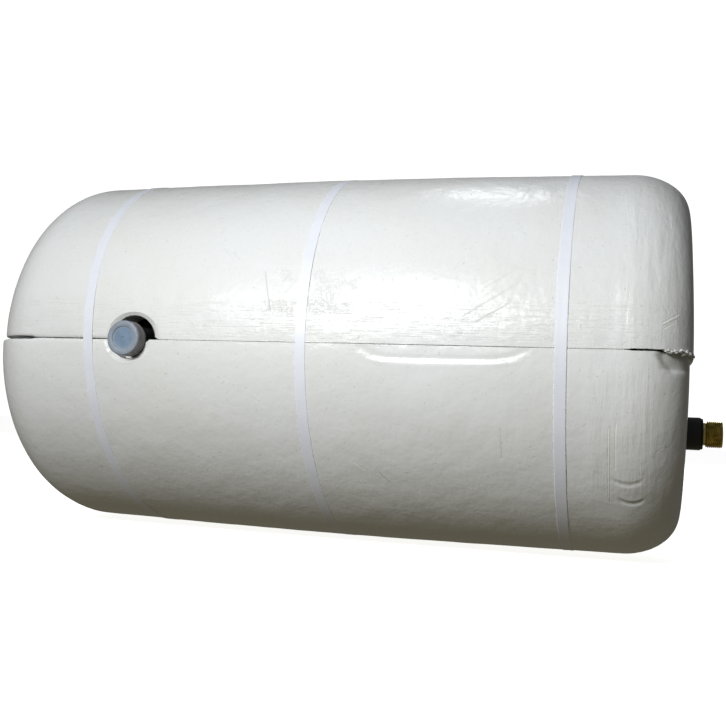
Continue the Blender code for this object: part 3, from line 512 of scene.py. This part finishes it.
def foam_shell(name, node, side, hole):
    """One finished half shell: skin, wall, the half hole round the gas port and its better finish."""
    shell = foam_skin(name, side, side * SHELL_SLIP + (UPPER_SHIFT if side > 0 else LOWER_SHIFT))
    modified(shell, "SOLIDIFY", thickness=FOAM_WALL, offset=-1.0, use_even_offset=False)
    tool = port_hole(hole)
    move_points(tool, points_of(tool) + np.array((side * SHELL_SLIP - HOLE_BACK, 0, 0)))
    cut(shell, tool)
    if side < 0:
        low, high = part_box("water_port_socket")
        middle = (low + high) / 2
        reach = high.x - 0.06 - middle.x
        tube = turned(
            "socket_hole_tool", [(reach, 0), (reach, SOCKET_HOLE), (0.04, SOCKET_HOLE), (0.04, 0)],
            middle, (1, 0, 0), 64,
        )
        cut(shell, tube)
    shell.data.materials.clear()
    shell.data.materials.append(foam)
    smooth(shell, 34)
    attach(shell, "vessel")
    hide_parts(node)
    return shell


foam_shell("upper_foam_shell", "upper_insulation_shell", 1, UPPER_HOLE)
foam_shell("lower_foam_shell", "lower_insulation_shell", -1, LOWER_HOLE)

# ---- Torn seam ----------------------------------------------------------------------------------------
# Where the seam meets the water end's corner the foam is torn, and crumbs of it hang in the split.

CRUMBS, FIRST_CRUMB, CRUMB_ROW = 20, 0.3015, 0.0225
dice = np.random.RandomState(7)
outline_x, outline_radius = np.array(foam_outline()).T
crumbs = []
for i in range(CRUMBS):
    along = FIRST_CRUMB + CRUMB_ROW * (i + dice.uniform(-0.3, 0.3)) / (CRUMBS - 1)
    size = dice.uniform(0.0011, 0.0025) * (0.7 if i < 5 else 1.0)
    depth = np.interp(along - AXIS.x, outline_x, outline_radius) - dice.uniform(0.0002, 0.0012)
    place = AXIS + Vector((along - AXIS.x, -depth, dice.uniform(-0.0018, 0.0012)))
    select_none()
    bpy.ops.mesh.primitive_ico_sphere_add(subdivisions=3, radius=size, location=place)
    crumb = bpy.context.object
    bpy.ops.object.transform_apply(location=True, rotation=True, scale=True)
    points = points_of(crumb)
    bumps = 1 + 0.55 * wobble(*points.T, 900, i) + 0.3 * wobble(*points.T, 2200, i)
    shape = bumps[:, None] * dice.uniform((0.9, 0.7, 0.6), (1.6, 1.0, 1.1))
    move_points(crumb, np.array(place) + (points - np.array(place)) * shape)
    crumbs.append(crumb)
select_none()
for crumb in crumbs:
    crumb.select_set(True)
bpy.context.view_layer.objects.active = crumbs[0]
bpy.ops.object.join()
torn_foam = bpy.context.object
torn_foam.name = torn_foam.data.name = "torn_foam_crumbs"
torn_foam.data.materials.clear()
torn_foam.data.materials.append(foam)
smooth(torn_foam, 60)
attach(torn_foam, "vessel")

# ---- Bands and seals ----------------------------------------------------------------------------------
# Three flat bands of white polypropylene, 10 mm wide, pulled tight round the foam. Each is closed on the
# far side by a zinc-plated steel seal that is crimped over it.

white_band = clouded_finish(
    "polypropylene_band", rgb(0.81, 0.83, 0.89), rgb(0.77, 0.79, 0.86), roughness=0.36, cloud=40, grain=500,
    depth=0.00005,
)
BAND_PLAY = -0.0002   # the band bites into the foam's skin


def band(name, node, seal_name, seal_node):
    """One band with its crimped seal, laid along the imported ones."""
    low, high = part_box(node)
    middle = (low.x + high.x) / 2 - AXIS.x
    outer = high.z - AXIS.z
    width, thickness = 0.010, 0.0006
    slant = (high.x - low.x - width) / (2 * outer)
    under = foam_radius(middle) + BAND_PLAY
    half, top = width / 2, under + thickness
    profile = [
        (half, under), (half, top - 0.0003), (half - 0.0004, top), (half * 0.5, top + 0.00003),
        (0, top - 0.0001), (-half * 0.5, top + 0.00003), (0.0004 - half, top), (-half, top - 0.0003),
        (-half, under), (half, under),
    ]
    strap = turned(name, profile, AXIS + Vector((middle, 0, 0)), (1, 0, 0), 200)
    lay_on_foam(strap, middle, slant)
    strap.data.materials.append(white_band)
    smooth(strap)
    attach(strap, "vessel")
    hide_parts(node)
    seal_on(seal_name, seal_node, middle, slant, top)


def lay_on_foam(piece, middle, slant):
    """Leans a ring or seal made round the band's place, and lets it follow the foam's swell."""
    x, y, z = (points_of(piece) - np.array(AXIS)).T
    leaned = x - slant * z
    share = 1 + (foam_radius(leaned) - foam_radius(middle)) / np.hypot(y, z)
    move_points(piece, np.stack([leaned, y * share, z * share], 1) + np.array(AXIS))


def seal_on(name, node, middle, slant, top):
    """A folded steel seal over the band, crimped by two pairs of notches."""
    angle, length, across, wall = math.radians(38), 0.026, 0.0059, 0.0006
    select_none()
    bpy.ops.mesh.primitive_cube_add(size=1, location=(middle, 0, 0), scale=(2 * across, length, 0.0018))
    seal = bpy.context.object
    seal.name = seal.data.name = name
    bpy.ops.object.mode_set(mode="EDIT")
    bpy.ops.mesh.select_all(action="SELECT")
    for step in range(1, 20):
        bpy.ops.mesh.select_all(action="SELECT")
        bpy.ops.mesh.bisect(plane_co=(0, (step / 20 - 0.5) * length, 0), plane_no=(0, 1, 0))
    for step in (-0.0052, -0.0044, 0.0044, 0.0052):
        bpy.ops.mesh.select_all(action="SELECT")
        bpy.ops.mesh.bisect(plane_co=(middle + step, 0, 0), plane_no=(1, 0, 0))
    bpy.ops.object.mode_set(mode="OBJECT")
    bpy.ops.object.transform_apply(location=True, rotation=True, scale=True)
    x, y, z = points_of(seal).T
    crimp = np.exp(-((np.abs(y) - 0.006) / 0.0016) ** 2)
    side = x - middle
    side = side * (1 - 0.10 * crimp * (np.abs(side) > 0.004))
    lifted = top + 0.0003 + wall
    height = np.where(z > 0, lifted - 0.00035 * crimp * (np.abs(side) > 0.0035), lifted - 0.0019)
    height = np.where((z < 0) & (np.abs(side) < 0.0051), lifted - wall, height)
    turn = angle + y / lifted
    placed = np.stack([side + middle, np.cos(turn) * height, np.sin(turn) * height], 1) + np.array(AXIS)
    move_points(seal, placed)
    lay_on_foam(seal, middle, slant)
    bpy.ops.object.mode_set(mode="EDIT")
    bpy.ops.mesh.select_all(action="SELECT")
    bpy.ops.mesh.normals_make_consistent(inside=False)
    bpy.ops.object.mode_set(mode="OBJECT")
    seal.data.materials.append(zinc)
    smooth(seal)
    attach(seal, "vessel")
    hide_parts(node)


band("gas_end_band", "gas_end_strap", "gas_end_band_seal", "gas_end_strap_seal")
band("middle_band", "middle_strap", "middle_band_seal", "middle_strap_seal")
band("water_end_band", "water_end_strap", "water_end_band_seal", "water_end_strap_seal")

# ---- Gas port -----------------------------------------------------------------------------------------
# A steel pipe stub with a G 3/4 thread, welded into the barrel and enamelled with it. A brass hexagon
# plug inside it, sealed by an O-ring, carries a tyre-type filling valve. Its pin's coil spring is wound
# from 0.4 mm wire.

PIPE_PITCH, PIPE_DEPTH = 0.001814, 0.00116   # G 3/4, 14 threads an inch
OUTWARDS = Vector((0, -1, 0))


def cut_thread(piece, centre, axis, start, end, crest):
    """Sinks a helical pipe thread into a turned piece, between two heights above the centre."""
    axis = np.array(Vector(axis).normalized())
    side = np.array(Vector(axis).orthogonal().normalized())
    third = np.cross(axis, side)
    offset = points_of(piece) - np.array(centre)
    height, across, up = offset @ axis, offset @ side, offset @ third
    radius, angle = np.hypot(across, up), np.arctan2(up, across)
    phase = (height / PIPE_PITCH - angle / math.tau) % 1
    groove = np.clip((1 - np.abs(2 * phase - 1) - 0.12) / 0.76, 0, 1)
    lead = np.clip(1 - np.minimum(height - start, end - height) / PIPE_PITCH, 0, 1)
    sunk = crest - PIPE_DEPTH * np.maximum(groove, lead * 0.8)
    on = (radius > crest - 0.0004) & (height >= start - 1e-6) & (height <= end + 1e-6)
    share = np.where(on, sunk / np.maximum(radius, 1e-6), 1)
    placed = np.outer(height, axis) + np.outer(across * share, side) + np.outer(up * share, third)
    move_points(piece, np.array(centre) + placed)


def threaded_rows(start, end, crest, per_pitch=9):
    """Closely spaced profile points along a thread."""
    count = round((end - start) / PIPE_PITCH * per_pitch)
    return [(start + (end - start) * i / count, crest) for i in range(count + 1)]


def put_on(piece, material, body, slot, *nodes, crease=30.0):
    """Finishes a piece: its material, its shading and what it stands for."""
    piece.data.materials.clear()
    piece.data.materials.append(material)
    smooth(piece, crease)
    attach(piece, body)
    if nodes:
        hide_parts(*nodes)
    return piece


gas_face = Vector((PORT.x, NIPPLE_LOW.y, AXIS.z))
nipple_crest, nipple_bore = (NIPPLE_HIGH.z - NIPPLE_LOW.z) / 2, 0.0102
nipple_root = -(NIPPLE_HIGH.y - NIPPLE_LOW.y)
stub = turned(
    "gas_port_stub",
    [(-0.0006, nipple_bore), (0, nipple_bore + 0.0006)] + threaded_rows(-0.016, 0, nipple_crest)[::-1]
    + [(-0.0165, nipple_crest), (-0.03, nipple_crest), (nipple_root, nipple_crest),
       (nipple_root, nipple_bore), (-0.0006, nipple_bore)],
    gas_face, OUTWARDS, 96,
)
cut_thread(stub, gas_face, OUTWARDS, -0.016, 0, nipple_crest)
put_on(stub, enamel, "vessel", "black_painted_steel", "gas_port_nipple")

brass = clouded_finish(
    "turned_brass", rgb(0.88, 0.74, 0.28), rgb(0.42, 0.32, 0.09), roughness=0.19, metallic=1.0, cloud=150,
    grain=900, depth=0.00002, uneven=0.14,
)
spring_wire = clouded_finish(
    "spring_wire", rgb(0.56, 0.57, 0.58), rgb(0.40, 0.40, 0.40), roughness=0.28, metallic=1.0, cloud=300,
    grain=1500,
)
dress(brass, "valve_carrier", "valve_stem", "valve_core", "valve_pin")
dress(rubber, "carrier_o_ring", "valve_seat_seal", "valve_cap_seal")

COIL_LOW, COIL_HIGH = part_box("valve_spring")
COIL_WIRE, COIL_TURNS, PIN_TRAVEL = 0.0002, 5, 0.0015
coil_radius = (COIL_HIGH.z - COIL_LOW.z) / 2 - COIL_WIRE
coil_length = COIL_HIGH.y - COIL_LOW.y
select_none()
bpy.ops.mesh.primitive_circle_add(vertices=14, radius=COIL_WIRE, location=(coil_radius, COIL_WIRE, 0))
coil = bpy.context.object
coil.name = coil.data.name = "valve_coil_spring"
bpy.ops.object.transform_apply(location=True, rotation=True, scale=True)
modified(
    coil, "SCREW", axis="Y", angle=math.tau, iterations=COIL_TURNS, steps=36, render_steps=36,
    screw_offset=(coil_length - 2 * COIL_WIRE) / COIL_TURNS, use_merge_vertices=False,
)
bpy.ops.object.mode_set(mode="EDIT")
bpy.ops.mesh.select_all(action="SELECT")
bpy.ops.mesh.fill_holes(sides=0)
bpy.ops.mesh.select_all(action="SELECT")
bpy.ops.mesh.normals_make_consistent(inside=False)
bpy.ops.object.mode_set(mode="OBJECT")
move_points(coil, points_of(coil) + np.array((PORT.x, COIL_LOW.y, AXIS.z)))
put_on(coil, spring_wire, "vessel", "spring_steel", "valve_spring")
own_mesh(coil)

# ---- Dust cap of the valve ----------------------------------------------------------------------------
# A small moulded black screw cap on the valve stem, with ribs for the fingers and a rubber disc inside.

DUST_LOW, DUST_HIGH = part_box("valve_dust_cap")
dust_radius, dust_face = (DUST_HIGH.z - DUST_LOW.z) / 2, Vector((PORT.x, DUST_LOW.y, AXIS.z))
dust_length = DUST_HIGH.y - DUST_LOW.y
DUST_BORE, RIBS, RIB_DEPTH = 0.00415, 24, 0.00035
black_plastic = clouded_finish(
    "moulded_black", rgb(0.02, 0.02, 0.021), rgb(0.035, 0.034, 0.033), roughness=0.42, cloud=90, grain=1200
)
dust_cap = turned(
    "valve_screw_cap",
    [(0, 0), (0, dust_radius - 0.0012), (-0.0003, dust_radius - 0.0006), (-0.0009, dust_radius - 0.0001)]
    + [(-0.0012 - i * (dust_length - 0.0022) / 6, dust_radius) for i in range(7)]
    + [(-dust_length, dust_radius - 0.0002), (-dust_length, DUST_BORE), (-0.0014, DUST_BORE), (-0.0014, 0)],
    dust_face, OUTWARDS, 144,
)
x, y, z = (points_of(dust_cap) - np.array(dust_face)).T
outside = (np.hypot(x, z) > dust_radius - 0.0003) & (y > 0.001) & (y < dust_length - 0.0008)
between_ribs = np.cos(np.arctan2(z, x) * RIBS) < 0
inset = np.where(outside & between_ribs, 1 - RIB_DEPTH / dust_radius, 1)
move_points(dust_cap, np.stack([x * inset, y, z * inset], 1) + np.array(dust_face))
put_on(dust_cap, black_plastic, "valve_dust_cap", "black_plastic", "valve_dust_cap")

# ---- Protective cap -----------------------------------------------------------------------------------
# A push-on polyethylene cap over the stub's thread: a thick rolled rim, a thin sunk disc in its face
# with a gate mark, and a plain skirt with a bead round its open end. The disc shows bluer than the rim,
# and the skirt is painted dark grey as shade, since it sits deep in the foam's hole.

CAP_RADIUS, CAP_LENGTH = (CAP_HIGH.z - CAP_LOW.z) / 2, CAP_HIGH.y - CAP_LOW.y
cap_bore = nipple_crest + 0.0003
disc, rim = CAP_RADIUS * 0.66, CAP_RADIUS
cap_profile = [
    (-0.0011, 0), (-0.00105, 0.0010), (-0.0007, 0.0013), (-0.0007, 0.0020), (-0.0010, disc * 0.5),
    (-0.0010, disc - 0.0006), (-0.0009, disc - 0.0002), (-0.0002, disc + 0.0002), (0, disc + 0.0007),
    (0, rim - 0.0019), (-0.0001, rim - 0.0012), (-0.0004, rim - 0.0006), (-0.0009, rim - 0.0002),
    (-0.0015, rim - 0.00003), (-0.0030, rim), (-0.0033, rim - 0.00045), (-0.0036, rim - 0.0005),
    (-CAP_LENGTH + 0.0022, rim - 0.0005), (-CAP_LENGTH + 0.0019, rim - 0.0003), (-CAP_LENGTH + 0.0015, rim),
    (-CAP_LENGTH + 0.0003, rim), (-CAP_LENGTH, rim - 0.0003), (-CAP_LENGTH, cap_bore + 0.0003),
    (-CAP_LENGTH + 0.0003, cap_bore), (-0.0024, cap_bore), (-0.0022, cap_bore - 0.0003), (-0.0022, 0),
]


def cap_finish():
    made, shader, place = bare_finish("cap_polyethylene")
    from_face = place.node("Mapping", {"Vector": place, "Location": -PORT})
    off = from_face.node("Mapping", {"Vector": from_face, "Scale": (1, 0, 1)})
    reach = off.node("VectorMath", {0: off}, out=1, operation="LENGTH")
    depth = from_face.node("SeparateXYZ", {"Vector": from_face}, out=1)
    clouds, grain = place.noise(170, 4, 0.6), place.noise(1500, 2, 0.6)
    skirt = depth.step(0.0012, 0.0042)
    face = reach.step(disc + 0.0008, disc - 0.0030) * (1 - skirt)
    grime = (clouds * 0.6 + grain * 0.4).step(0.45, 0.62)
    colour = face.mix(rgb(0.27, 0.31, 0.365), rgb(0.175, 0.26, 0.37))
    # Painted shade: the skirt, sunk in the foam's hole, is painted dark grey, darker away from the face.
    colour = skirt.mix(colour, rgb(0.16, 0.15, 0.15))
    colour = (grime * 0.35).mix(colour, rgb(0.13, 0.14, 0.16))
    plug(
        shader,
        Base_Color=colour,
        Roughness=0.40 + clouds * 0.2 - grain * 0.08,
        Normal=place.node("Bump", {"Height": grain * 0.00003 + clouds * 0.00012, "Distance": 1.0}),
    )
    return made


cap = turned("push_on_cap", cap_profile, PORT, OUTWARDS, 112)
put_on(cap, cap_finish(), "protective_cap", "cap_plastic", "protective_cap", crease=40)
cap.visible_shadow = False

# ---- Water port ---------------------------------------------------------------------------------------
# A turned steel socket, welded low in the water head and enamelled black, ends just outside the foam. A
# brass nipple is screwed into it, with a short neck and a G 3/4 thread, against a flat rubber washer.

SOCKET_LOW, SOCKET_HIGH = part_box("water_port_socket")
TAIL_LOW, TAIL_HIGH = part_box("water_nipple")
WATER = Vector((SOCKET_HIGH.x, (SOCKET_LOW.y + SOCKET_HIGH.y) / 2, (SOCKET_LOW.z + SOCKET_HIGH.z) / 2))
ALONG = Vector((1, 0, 0))
socket_radius, socket_bore = (SOCKET_HIGH.z - SOCKET_LOW.z) / 2, 0.0121
socket_root = SOCKET_LOW.x - SOCKET_HIGH.x
collar = turned(
    "water_socket",
    [(0, socket_bore + 0.0006), (0, socket_radius - 0.0011), (-0.0004, socket_radius - 0.0004),
     (-0.0012, socket_radius), (-0.006, socket_radius), (-0.02, socket_radius), (socket_root, socket_radius),
     (socket_root, socket_bore), (-0.0006, socket_bore), (0, socket_bore + 0.0006)],
    WATER, ALONG, 96,
)
put_on(collar, enamel, "vessel", "black_painted_steel", "water_port_socket")

crest = (TAIL_HIGH.z - TAIL_LOW.z) / 2
end = TAIL_HIGH.x - WATER.x
tail_bore, tail_radius, neck_radius = 0.0085, socket_bore - 0.0003, 0.01075
thread_start = end - 0.0149
nipple = turned(
    "brass_nipple",
    [(end - 0.0005, tail_bore), (end, tail_bore + 0.0005)] + threaded_rows(thread_start, end, crest)[::-1]
    + [(thread_start - 0.0001, neck_radius + 0.0004), (thread_start - 0.0006, neck_radius),
       (0.0003, neck_radius), (-0.0009, tail_radius), (TAIL_LOW.x - WATER.x, tail_radius),
       (TAIL_LOW.x - WATER.x, tail_bore), (end - 0.0005, tail_bore)],
    WATER, ALONG, 96,
)
cut_thread(nipple, WATER, ALONG, thread_start, end, crest)
put_on(nipple, brass, "vessel", "brass", "water_nipple")
dress(rubber, "nipple_seal_washer")

# ---- Floor, lamps and camera --------------------------------------------------------------------------
# A plain white floor and backdrop that light nothing, a soft lamp in front and above, two small ones for
# the highlights on the foam, one behind, and a faint sky that is dimmer towards the water end.

select_none()
bpy.ops.mesh.primitive_plane_add(size=9, location=(0, 0, 0))
floor = bpy.context.object
floor.name = "floor"
bpy.ops.object.transform_apply(location=True, rotation=True, scale=True)
pale, pale_shader, _ = bare_finish("pale_floor")
pale_shader.inputs["Base Color"].default_value = rgb(0.92, 0.92, 0.91)
pale_shader.inputs["Roughness"].default_value = 0.9
pale_shader.inputs["Emission Color"].default_value = rgb(1.0, 1.0, 0.99)
pale_shader.inputs["Emission Strength"].default_value = 0.86
floor.data.materials.append(pale)

bpy.ops.mesh.primitive_uv_sphere_add(segments=48, ring_count=24, radius=6, location=(0, 0, 0))
sweep = bpy.context.object
sweep.name = "backdrop"
bpy.ops.object.transform_apply(location=True, rotation=True, scale=True)
paper, paper_shader, _ = bare_finish("white_paper")
paper_shader.inputs["Emission Color"].default_value = rgb(1.0, 1.0, 1.0)
paper_shader.inputs["Emission Strength"].default_value = 1.0
sweep.data.materials.append(paper)
for stage_piece in (floor, sweep):
    stage_piece.visible_diffuse = stage_piece.visible_glossy = False
sweep.visible_shadow = False

sky = bpy.data.worlds.new("studio")
bpy.context.scene.world = sky
sky.use_nodes = True
backdrop = sky.node_tree.nodes["Background"]
heaven = Wire(sky.node_tree).node("TexCoord", out="Generated")
up = heaven.node("SeparateXYZ", {"Vector": heaven}, out=2)
tone = up.node("ValToRGB", {"Fac": up * 0.5 + 0.5}, stops=[
    (0.0, rgb(0.135, 0.12, 0.078)), (0.5, rgb(0.12, 0.115, 0.10)), (1.0, rgb(0.13, 0.14, 0.155)),
])
sky.node_tree.links.new(tone.socket, backdrop.inputs["Color"])
right = heaven.node("SeparateXYZ", {"Vector": heaven}, out=0)
strength = 1 - right.step(0.1, 0.95) * 0.4
sky.node_tree.links.new(strength.socket, backdrop.inputs["Strength"])


def lamp(name, place, target, width, height, power, colour):
    """A rectangular lamp at a place, turned to a target."""
    bpy.ops.object.light_add(type="AREA", location=place)
    made = bpy.context.object
    made.name = name
    made.rotation_euler = (Vector(target) - Vector(place)).to_track_quat("-Z", "Y").to_euler()
    made.data.shape = "RECTANGLE"
    made.data.size, made.data.size_y = width, height
    made.data.energy = power
    made.data.color = colour
    return made


front = lamp("front_lamp", (-0.21, -1.12, 0.62), (0.13, -0.18, 0.22), 0.34, 0.24, 4.15, (0.975, 0.99, 1.0))
front.data.spread = math.radians(110)
lamp("small_lamp", (-0.15, -0.98, 0.90), (0.08, -0.18, 0.24), 0.18, 0.08, 1.15, (1.0, 1.0, 1.0))
lamp("top_lamp", (0.0, 0.29, 1.23), (0.15, -0.12, 0.33), 0.16, 0.08, 0.7, (0.97, 0.99, 1.0))
lamp("rear_lamp", (-0.35, 2.1, 0.55), (0.0, 0.1, 0.19), 1.3, 0.8, 19, (1.0, 0.99, 0.98))

RIGHT, UP, BACK = (0.96280, 0.26699, 0.04171), (-0.02311, -0.07242, 0.99711), (0.26923, -0.96098, -0.06355)
turn = Matrix((RIGHT, UP, BACK)).transposed()
bpy.ops.object.camera_add(location=(0.27962, -0.91070, 0.12960), rotation=turn.to_euler())
camera = bpy.context.object
camera.data.sensor_width = 36
camera.data.lens = 44.35
camera.data.shift_x, camera.data.shift_y = -0.0342, -0.0100
camera.data.clip_start = 0.01
bpy.context.scene.camera = camera
bpy.context.scene.view_settings.view_transform = "Standard"
